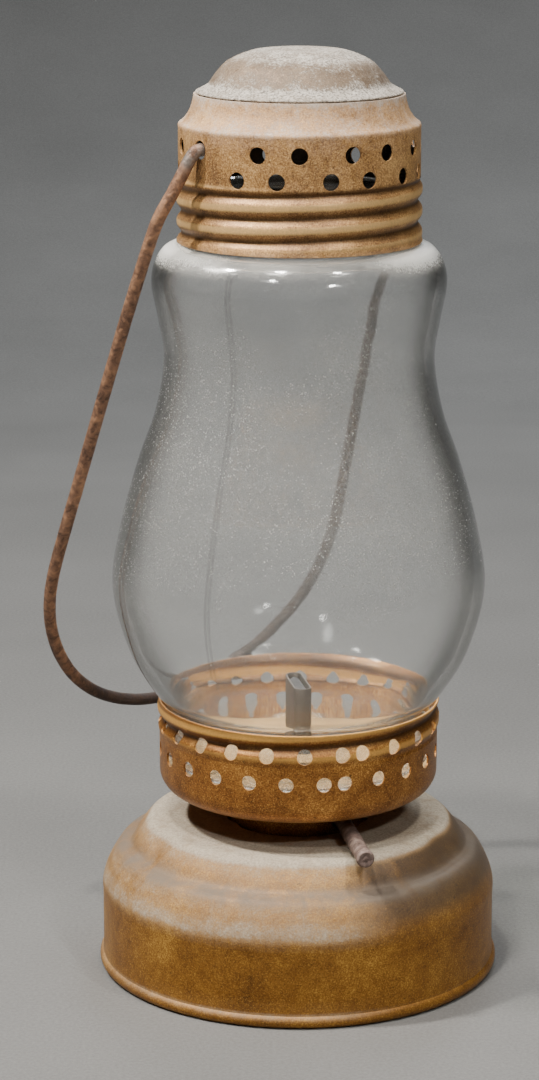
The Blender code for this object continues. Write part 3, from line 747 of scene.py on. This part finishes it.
def fount_shell():
    dome = smooth_through([(26.0, PLATEAU_Z), (PLATEAU_R + 0.4, PLATEAU_Z - 0.02), (29.3, 28.95),
                           (31.2, 26.9), (32.6, 24.9), (33.6, 24.25), (35.3, 23.35), (36.6, 21.4),
                           (37.75, 18.9), (FOUNT_WALL_R, 16.8), (38.32, 15.2)], 7)
    bead_centre = FOUNT_BEAD_R - 0.05 - FOUNT_BEAD_H / 2  # 0.05 inside the CAD bead
    line = [(radius, PLATEAU_Z) for radius in (FILL_HOLE_R, 17.0, 20.0, 23.0)] + dome
    line += [(FOUNT_WALL_R, height) for height in steps_between(13.5, FOUNT_BEAD_H + 0.2, 10)]
    outer_bead = arc((bead_centre, FOUNT_BEAD_H / 2), FOUNT_BEAD_H / 2, 58, -90, 14)
    inner_edge = bead_centre - 0.45
    bead_inside = [(inner_edge + 0.15, 0.0), (inner_edge, 0.15), (inner_edge, FOUNT_BEAD_H + 0.2)]
    skin = offset_line(line, FOUNT_SHEET)[::-1]
    pinches = ((-62, 28.4, 3.4, 0.9), (64, 27.6, 3.6, 0.8), (-97, 26.0, 4.0, 0.5))
    dents = dented(0.16, 17.0, 0.4, pinches)
    bead_clear = FOUNT_BEAD_H + 0.5

    def above_bead(azimuth, height):
        return dents(azimuth, height) if height > bead_clear else 0.0
    piece("fount_shell_fine", turned(line + outer_bead + bead_inside + skin, wave=above_bead), fount_lacquer,
          "fount", "fount_shell")


def fount_bottom():
    rim = FOUNT_BEAD_R - FOUNT_BEAD_H / 2 - 0.75
    corner = arc((rim - 0.6, 0.6), 0.6, 0, -90, 4)
    stiffening_ring = smooth_through([(33.5, 0.0), (31.0, 0.0), (30.2, 0.7), (26.8, 0.7), (26.0, 0.0),
                                      (20.0, 0.0)], 5)
    line = [(rim, 4.8)] + corner + stiffening_ring + [(10.0, 0.0), (0.0, 0.0)]
    line = [(radius, max(height, 0.0)) for radius, height in line]
    piece("fount_bottom_fine", turned(sheet(line, FOUNT_SHEET)), bottom_tin,
          "fount", "fount_bottom")


def fount_collar():
    top, bottom = PLATEAU_Z - FOUNT_SHEET - 0.3, NECK_BOTTOM - 0.5
    outer, flange = COLLAR_R + FOUNT_SHEET, COLLAR_R + 3.2
    barrel = [(outer, height) for height in steps_between(top - FOUNT_SHEET - 0.05, bottom, 28)]
    bore = [(COLLAR_R, height) for height in steps_between(bottom, top, 28)]
    outline = [(flange, top), (flange, top - FOUNT_SHEET)] + barrel + bore
    wave = thread(NECK_GROOVE_Z, NECK_PITCH, NECK_DEPTH, bottom, top - 1.0, 1.0)
    piece("fount_collar_fine", turned(outline, THREAD_SEGMENTS, wave), collar_brass,
          "fount", "fount_collar")


# ---------------------------------------------------------------- burner

def burner_neck():
    line = [(NECK_R, height) for height in steps_between(NECK_TOP - 0.2, NECK_BOTTOM + 0.2, 42)]
    wave = thread(NECK_GROOVE_Z, NECK_PITCH, NECK_DEPTH, NECK_BOTTOM, 28.6, 1.0)
    neck = piece("burner_neck_fine", turned(sheet(line, BURNER_SHEET), THREAD_SEGMENTS, wave), burner_lacquer,
                 "burner", "burner_neck")
    punch = bmesh.new()
    prism(punch, circle(SPINDLE_D / 2 + 0.35, BORE_SIDES), 8.0, 16.0, SPINDLE_ALONG)
    punch_holes(neck, punch)


def gallery_cup():
    thread_low = 45.6
    corner_r = 4.0
    corner = arc((CUP_R - corner_r, CUP_FLOOR_Z + corner_r), corner_r, 0, -75, 12)
    threaded = [(CUP_R, height) for height in steps_between(CUP_TOP - 0.9, thread_low, 56)]
    line = [(CUP_R + 0.22, CUP_TOP - 0.2), (CUP_R + 0.12, CUP_TOP - 0.5)] + threaded
    line += [(CUP_R, height) for height in steps_between(thread_low - 0.8, 40.0, 7)]
    line += corner + [(22.6, CUP_FLOOR_Z + 0.02), (20.0, CUP_FLOOR_Z), (16.0, CUP_FLOOR_Z),
                      (NECK_R + 0.55, CUP_FLOOR_Z)]
    grip = bead_thread(CUP_VALLEY_Z, CUP_PITCH, CUP_GROOVE, CUP_CREST, thread_low + 1.2, CUP_TOP + 0.3, 1.9)
    wave = added(grip, dented(0.10, 14.0, 1.7))
    cup = piece("gallery_cup_fine", turned(sheet(line, BURNER_SHEET), wave=wave), burner_lacquer,
                "burner", "gallery_cup")
    punch = bmesh.new()
    for height, start in CUP_ROWS:
        for index in range(CUP_HOLES):
            radial_punch(punch, start + CUP_HOLE_STEP * index, height, CUP_HOLE_D, CUP_R)
    punch_holes(cup, punch)


def burner_deck():
    line = [(radius, DECK_TOP) for radius in (0.0, 4.0, 8.0, 12.0, 16.0, 20.0, 24.0)]
    line += arc((DECK_R - 0.6, DECK_TOP - 0.6), 0.6, 90, 0, 5) + [(DECK_R, DECK_TOP - 2.0)]
    deck = piece("burner_deck_fine", turned(sheet(line, BURNER_SHEET)), deck_tin,
                 "burner", "burner_deck")
    punch = bmesh.new()
    slot = flat_oval(TUBE_W + 0.6, TUBE_T + 0.6)
    prism(punch, slot, DECK_TOP - PUNCH_REACH, DECK_TOP + PUNCH_REACH, WICK_FRAME)
    punch_holes(deck, punch)


def wick_tube():
    """Flattened tube with a softly rounded rim, its two skins a wall apart."""
    def ring(inset, height):
        return [(x, y, height) for x, y in flat_oval(TUBE_W - 2 * inset, TUBE_T - 2 * inset)]
    straight_top = TUBE_TOP - TUBE_RIM
    rings = [ring(0.0, height) for height in steps_between(TUBE_BOTTOM, straight_top, 24)]
    rings += [ring(TUBE_WALL * part, TUBE_TOP - drop)
              for part, drop in ((0.15, 0.05), (0.5, 0.0), (0.85, 0.05))]
    rings += [ring(TUBE_WALL, height) for height in steps_between(straight_top, TUBE_BOTTOM, 24)]
    maker = bmesh.new()
    loft(maker, rings, closed=True)
    tube = piece("wick_tube_fine", maker, tube_tin, "burner", "wick_tube", WICK_FRAME)
    slots = bmesh.new()
    half = WHEEL_T / 2 + 0.3
    near, far = TUBE_SLOT_INNER, TUBE_SLOT_OUTER
    for side in (-1, 1):
        middle = side * WHEEL_SPACING / 2
        outline = [(near, middle - half), (far, middle - half), (far, middle + half), (near, middle + half)]
        prism(slots, outline, SPINDLE_Z - TUBE_SLOT_HALF, SPINDLE_Z + TUBE_SLOT_HALF, WICK_FRAME)
    punch_holes(tube, slots)


def wick():
    """Woven strip with a ragged, rounded top edge."""
    maker = bmesh.new()
    outline = flat_oval(WICK_W, WICK_T, 8)
    rib, radians_per_mm, fray = 0.04, 4.6, 0.18
    rings = []
    for height in steps_between(WICK_BOTTOM, WICK_TOP - 0.5, 90):
        swell = rib * math.sin(height * radians_per_mm)
        rings.append([(x * (1 - abs(swell)), y, height) for x, y in outline])
    for inset, height in ((0.78, WICK_TOP - 0.12), (0.35, WICK_TOP - 0.02)):
        ring = []
        for x, y in outline:
            ragged = height + fray * noise.noise(Vector((x, y, 0))) - fray
            ring.append((x * inset, y * (0.9 + 0.1 * inset), ragged))
        rings.append(ring)
    loft(maker, rings)
    piece("wick_fine", maker, wick_cotton, "wick_strip", "wick", WICK_FRAME)


def spindle_bracket():
    near, far = TUBE_T / 2 + 0.4, 9.4
    tab_inner = WHEEL_SPACING / 2 + WHEEL_T / 2 + 0.5
    tab_outer = tab_inner + BURNER_SHEET
    web_low = SPINDLE_Z + WHEEL_R + 0.4
    web_top = web_low + BURNER_SHEET
    tab_bottom = SPINDLE_Z - SPINDLE_D / 2 - 1.4
    fold = [(-tab_outer, tab_bottom), (-tab_inner, tab_bottom), (-tab_inner, web_low), (tab_inner, web_low),
            (tab_inner, tab_bottom), (tab_outer, tab_bottom), (tab_outer, web_top), (-tab_outer, web_top)]
    sideways = Matrix(((0, 0, 1, 0), (1, 0, 0, 0), (0, 1, 0, 0), (0, 0, 0, 1)))
    maker = bmesh.new()
    prism(maker, fold, near, far, sideways)
    bracket = piece("spindle_bracket_fine", maker, bracket_brass,
                    "burner", "spindle_bracket", WICK_FRAME)
    punch = bmesh.new()
    prism(punch, circle(SPINDLE_D / 2 + SPINDLE_CLEARANCE, BORE_SIDES), -8.0, 8.0, SPINDLE_ALONG)
    punch_holes(bracket, punch)
    bevelled(bracket, 0.08)


# ---------------------------------------------------------------- wick raiser

def spindle():
    """Rusty rod with a riveted front end."""
    radius, front = SPINDLE_D / 2, SPINDLE_FRONT
    profile = [(0.0, SPINDLE_REAR), (radius - 0.3, SPINDLE_REAR), (radius - 0.08, SPINDLE_REAR + 0.1)]
    profile += [(radius, at) for at in steps_between(SPINDLE_REAR + 0.35, front - 1.8, 150)]
    profile += [(radius + 0.08, front - 1.45), (radius + 0.15, front - 1.1), (radius + 0.15, front - 0.5),
                (radius + 0.05, front - 0.2), (radius - 0.2, front)]
    profile += [(at, front - drop)
                for at, drop in ((1.05, 0.02), (0.85, 0.16), (0.6, 0.22), (0.45, 0.12), (0.0, 0.08))]

    def scaly(azimuth, along):
        spot = around(radius, azimuth, along)
        rough = 0.6 * noise.noise(spot * 0.9) + 0.4 * noise.noise(spot * 2.3)
        return -0.05 + 0.06 * rough if along < front - 1.0 else -0.03 + 0.03 * rough
    piece("spindle_fine", turned(profile, 48, scaly), spindle_iron,
          "wick_raiser", "spindle", SPINDLE_ALONG)


def star_wheel(name, along):
    points = 2 * WHEEL_TEETH
    turns = [2 * math.pi * step / points for step in range(points)]
    radii = [WHEEL_R - 0.05 if step % 2 == 0 else WHEEL_ROOT_R for step in range(points)]
    rim = [(r * math.cos(t), r * math.sin(t)) for r, t in zip(radii, turns)]
    bore_r = SPINDLE_D / 2 + SPINDLE_CLEARANCE
    bore = [(bore_r * math.cos(t), bore_r * math.sin(t)) for t in turns]
    half = WHEEL_T / 2
    sections = ((rim, -half), (rim, half), (bore, half), (bore, -half))
    maker = bmesh.new()
    loft(maker, [[(x, along + y, z) for x, z in outline] for outline, y in sections], closed=True)
    wheel = piece(name + "_fine", maker, wheel_brass, "wick_raiser", name, SPINDLE_FRAME)
    bevelled(wheel, 0.12)


# ---------------------------------------------------------------- glass

def globe():
    foot = [(GLOBE_FOOT_R, height) for height in steps_between(GLOBE_BOTTOM + 0.9, 51.8, 30)]
    body = smooth_through([(25.75, 53.0), (28.4, 56.0), (32.9, 64.0), (35.8, 76.0), (34.1, 88.0),
                           (30.8, 100.0), (27.3, 110.0), (25.65, 120.0), (26.65, 127.5), (27.85, 134.0),
                           (27.3, 138.0), (25.4, 140.9), (22.9, 141.9), (21.7, 142.6)], 7)
    neck = [(GLOBE_NECK_R, height) for height in steps_between(144.0, GLOBE_TOP - 0.9, 26)]
    line = (foot + body + neck)[::-1]
    foot_wave = thread(CUP_VALLEY_Z, CUP_PITCH, GLASS_DEPTH, 43.0, 52.0, 1.5)
    neck_wave = thread(CAP_GROOVE_Z, CAP_PITCH, GLASS_DEPTH, 143.5, 151.5, 1.5)
    wave = added(foot_wave, neck_wave, dented(0.12, 26.0, 2.9))
    piece("globe_fine", turned(sheet(line, GLASS), wave=wave), glass, "glass", "globe")


# ---------------------------------------------------------------- cap

def cap_band():
    flare = smooth_through([(19.7, CAP_TOP), (19.95, 168.2), (20.5, 166.6), (21.5, 165.1), (CAP_R, 164.2),
                            (CAP_R + 0.06, 163.2)], 6)
    plain = [(CAP_R + 0.08, height) for height in steps_between(162.4, CAP_THREAD_TOP + 0.7, 10)]
    threaded = [(CAP_R + 0.1, height) for height in steps_between(CAP_THREAD_TOP, CAP_BOTTOM + 1.3, 72)]
    skirt = [(CAP_R + 0.24, CAP_BOTTOM + 0.85), (CAP_R + 0.52, CAP_BOTTOM + 0.2)]
    line = [(17.2, CAP_TOP), (18.6, CAP_TOP)] + flare + plain + threaded + skirt
    grip = bead_thread(CAP_GROOVE_Z, CAP_PITCH, CAP_GROOVE, CAP_CREST, CAP_BOTTOM + 0.4, CAP_THREAD_TOP, 0.9)
    wave = added(grip, dented(0.10, 13.0, 5.3))
    band = piece("cap_band_fine", turned(sheet(line, CAP_SHEET), wave=wave), cap_lacquer,
                 "cap", "cap_band")
    punch = bmesh.new()
    for bail_side in (BAIL_AZIMUTH, BAIL_AZIMUTH + 180.0):
        radial_punch(punch, bail_side, BAIL_PIVOT_Z, BAIL_HOLE_D, CAP_R)
        for height, shift in CAP_HOLE_ROWS:
            for angle in CAP_HOLE_ANGLES:
                radial_punch(punch, bail_side + angle + shift, height, CAP_HOLE_D, CAP_R)
    punch_holes(band, punch)


def cap_crown():
    dome = smooth_through([(0.0, CROWN_TOP), (4.5, CROWN_TOP - 0.15), (9.0, 177.4), (13.2, 175.7),
                           (15.3, 173.7), (16.5, 172.1), (17.2, 171.25), (CROWN_RIM_R - 0.15, 170.14)], 7)
    sag = dented(0.12, 9.0, 7.7)
    piece("cap_crown_fine", turned(sheet(dome, CAP_SHEET), wave=sag), crown_lacquer,
          "cap", "cap_crown")


# ---------------------------------------------------------------- bail

def bail():
    """Rusty wire, both ends hooked into the cap; half of its path is (across, down) from the pivot."""
    hook = [(19.4, -3.2), (19.4, -1.6), (19.75, -0.55), (20.7, 0.0)]
    shoulder = [(22.8, 0.0), (23.8, 0.75), (24.55, 2.4), (25.15, 4.4), (26.3, 8.0), (28.3, 13.6),
                (29.2, 19.5)]
    leg = [(30.4, 32.0), (31.6, 48.0), (32.8, 66.0), (33.9, 82.0)]
    bend = [(34.3, 90.5), (33.8, 97.5), (32.0, 104.4), (28.5, 111.5), (23.2, 118.3), (16.4, 123.6),
            (8.4, 126.9)]
    half = hook + shoulder + leg + bend + [(0.0, 127.97)]
    nodes = [(-across, -down) for across, down in half] + [(across, -down) for across, down in half[-2::-1]]
    path = [Vector((x, 0.0, z)) for x, z in smooth_through(nodes, 10)]
    radius, last = BAIL_D / 2, len(path) - 1
    rings = []
    for index, point in enumerate(path):
        ahead = (path[min(index + 1, last)] - path[max(index - 1, 0)]).normalized()
        sideways = ahead.cross(Vector((0, 1, 0)))
        ring = []
        for x, y in circle(1.0, 24):
            out = sideways * x + Vector((0, y, 0))
            spot = point + out * radius
            scale = 0.6 * noise.noise(spot * 0.55) + 0.4 * noise.noise(spot * 1.9 + Vector((5, 0, 0)))
            ring.append(point + out * (radius - BAIL_INSET + 0.05 * scale))
        rings.append(ring)
    maker = bmesh.new()
    loft(maker, rings)
    piece("bail_fine", maker, bail_wire, "handle", "bail", BAIL_FRAME)


for make in (fount_shell, fount_bottom, fount_collar, burner_neck, gallery_cup, burner_deck, wick_tube, wick,
             spindle_bracket, spindle, globe, cap_band, cap_crown, bail):
    make()
star_wheel("star_wheel_front", -WHEEL_SPACING / 2)
star_wheel("star_wheel_rear", WHEEL_SPACING / 2)


# ---------------------------------------------------------------- studio

def backdrop():
    """Pale grey paper: floor, wide curve and wall in one sweep, clear from behind for views of the back."""
    half, front, bend_start, bend, top = 2.8, -2.6, 0.55, 0.8, 1.6
    line = [(front, 0.0), (-0.4, 0.0), (0.2, 0.0)]
    line += [(bend_start + bend * math.sin(turn), bend * (1 - math.cos(turn)))
             for turn in (math.radians(degrees) for degrees in range(0, 91, 5))]
    line.append((bend_start + bend, top))
    maker = bmesh.new()
    rows = [[maker.verts.new((x, y, z)) for x in (-half, 0.0, half)] for y, z in line]
    for first, second in zip(rows, rows[1:]):
        for step in range(2):
            maker.faces.new((first[step], first[step + 1], second[step + 1], second[step]))
    mesh = bpy.data.meshes.new("backdrop")
    maker.to_mesh(mesh)
    maker.free()
    mesh.shade_smooth()
    f = Finish("backdrop_paper")
    fibres = f.noise(1400.0, 4.0, 0.7)
    mottle = f.noise(9.0, 3.0, 0.6)
    tone = f.plus(f.times(fibres, 0.45), f.times(mottle, 0.25))
    grey = f.ramp(tone, (0.2, (0.120, 0.119, 0.114)), (0.55, (0.235, 0.232, 0.224)))
    f.set(Base_Color=grey, Roughness=0.92, Normal=f.bump(fibres, 0.0003, 0.5))
    f.mix_in(f.tree.nodes.new("ShaderNodeNewGeometry").outputs["Backfacing"], (1.0, 1.0, 1.0))
    mesh.materials.append(f.material)
    item = bpy.data.objects.new("backdrop", mesh)
    bpy.context.scene.collection.objects.link(item)


def lamp(name, place, aim, size, watts, colour):
    light = bpy.data.lights.new(name, "AREA")
    light.shape = "DISK"
    light.size, light.energy, light.color = size, watts, colour
    item = bpy.data.objects.new(name, light)
    item.location = place
    item.rotation_euler = (Vector(aim) - Vector(place)).to_track_quat("-Z", "Y").to_euler()
    bpy.context.scene.collection.objects.link(item)


def studio():
    backdrop()
    middle, warm, spot_white = (0.0, 0.0, 0.09), (1.0, 0.955, 0.90), (1.0, 0.98, 0.95)
    lamp("key_left", (-0.30, -0.06, 0.52), middle, 0.045, 4.0, warm)
    lamp("key_right", (0.18, -0.18, 0.56), middle, 0.045, 1.1, warm)
    lamp("front_left", (-0.10, -0.20, 0.62), middle, 0.05, 2.3, (1.0, 0.96, 0.91))
    lamp("spot_left", (-0.161, -0.362, 0.47), middle, 0.045, 0.95, spot_white)
    lamp("spot_right", (0.204, -0.419, 0.38), middle, 0.045, 0.75, spot_white)
    lamp("floor_behind", (0.10, 0.60, 0.60), (0.05, 0.38, 0.0), 0.30, 3.2, (0.88, 0.94, 1.0))
    world = bpy.data.worlds.new("studio")
    world.use_nodes = True
    background = world.node_tree.nodes["Background"].inputs
    background["Color"].default_value = (0.86, 0.93, 1.0, 1.0)
    background["Strength"].default_value = 0.03
    bpy.context.scene.world = world

    lens = bpy.data.cameras.new("camera")
    lens.lens, lens.sensor_width, lens.sensor_fit = 104.65, 36.0, "AUTO"
    camera = bpy.data.objects.new("camera", lens)
    camera.location = (-0.00558, -0.58412, 0.22796)
    camera.rotation_euler = (math.radians(76.192), 0.0, 0.0)
    bpy.context.scene.collection.objects.link(camera)
    bpy.context.scene.camera = camera


studio()
